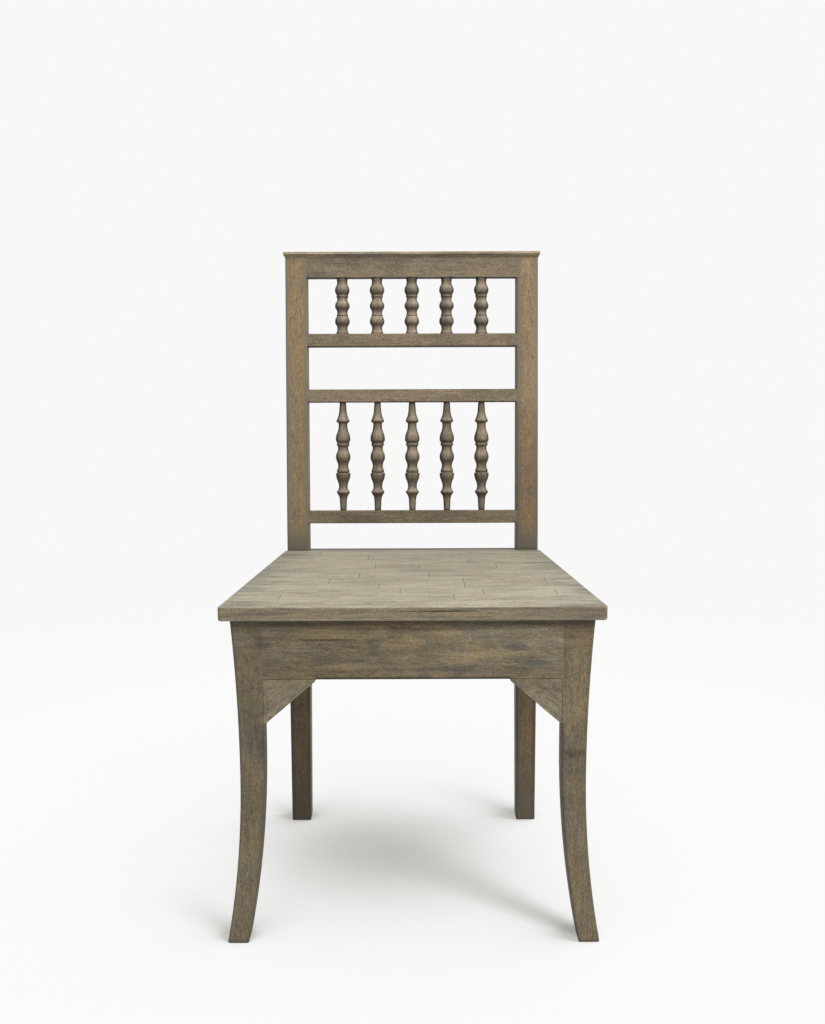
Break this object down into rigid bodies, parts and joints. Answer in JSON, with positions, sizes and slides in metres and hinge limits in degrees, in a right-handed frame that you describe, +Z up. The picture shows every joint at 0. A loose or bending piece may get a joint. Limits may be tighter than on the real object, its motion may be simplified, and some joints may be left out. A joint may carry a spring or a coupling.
{
  "type": "spindle back dining chair",
  "caption": "Armless wooden dining chair with a strip-built flat seat, raked posts, turned spindles in an upper and a lower bank, and flared front legs under a bracketed apron.",
  "frame": {"origin": "on the floor, below the middle of the chair's overall width and depth", "axes": "+Z up; -Y is the front, where the sitter's knees are; +X is to the right as seen from in front"},
  "size_m": [0.5028, 0.5218, 0.9605],
  "materials": {
    "frame_wood": "weathered grey-brown, dull wax, paler on worn edges",
    "leg_wood": "weathered grey-brown, dull wax",
    "apron_wood": "weathered grey-brown, mottled, dull wax",
    "spindle_wood": "weathered grey-brown, dark in the grooves",
    "seat_wood": "weathered grey-beige, worn smooth, dull wax",
    "inner_wood": "raw, unfinished",
    "screw_steel": "plain zinc plated"
  },
  "bodies": {
    "root": {"rear_post_left": "frame_wood", "rear_post_right": "frame_wood", "crest_rail": "frame_wood", "crest_cap": "frame_wood", "upper_rail": "frame_wood", "middle_rail": "frame_wood", "lower_rail": "frame_wood", "front_leg_left": "leg_wood", "front_leg_right": "leg_wood", "front_apron": "apron_wood", "rear_apron": "apron_wood", "side_apron_left": "apron_wood", "side_apron_right": "apron_wood", "front_bracket_left": "apron_wood", "front_bracket_right": "apron_wood", "upper_spindle_1": "spindle_wood", "upper_spindle_2": "spindle_wood", "upper_spindle_3": "spindle_wood", "upper_spindle_4": "spindle_wood", "upper_spindle_5": "spindle_wood", "lower_spindle_1": "spindle_wood", "lower_spindle_2": "spindle_wood", "lower_spindle_3": "spindle_wood", "lower_spindle_4": "spindle_wood", "lower_spindle_5": "spindle_wood", "seat_strip_01": "seat_wood", "seat_strip_02": "seat_wood", "seat_strip_03": "seat_wood", "seat_strip_04": "seat_wood", "seat_strip_05": "seat_wood", "seat_strip_06": "seat_wood", "seat_strip_07": "seat_wood", "seat_strip_08": "seat_wood", "seat_strip_09": "seat_wood", "seat_strip_10": "seat_wood", "seat_strip_11": "seat_wood", "seat_strip_12": "seat_wood", "corner_block_front_left": "inner_wood", "corner_block_front_right": "inner_wood", "corner_block_rear_left": "inner_wood", "corner_block_rear_right": "inner_wood", "cap_dowels": "inner_wood", "bracket_dowels": "inner_wood", "block_screws": "screw_steel", "seat_screws": "screw_steel"}
  },
  "joints": []
}
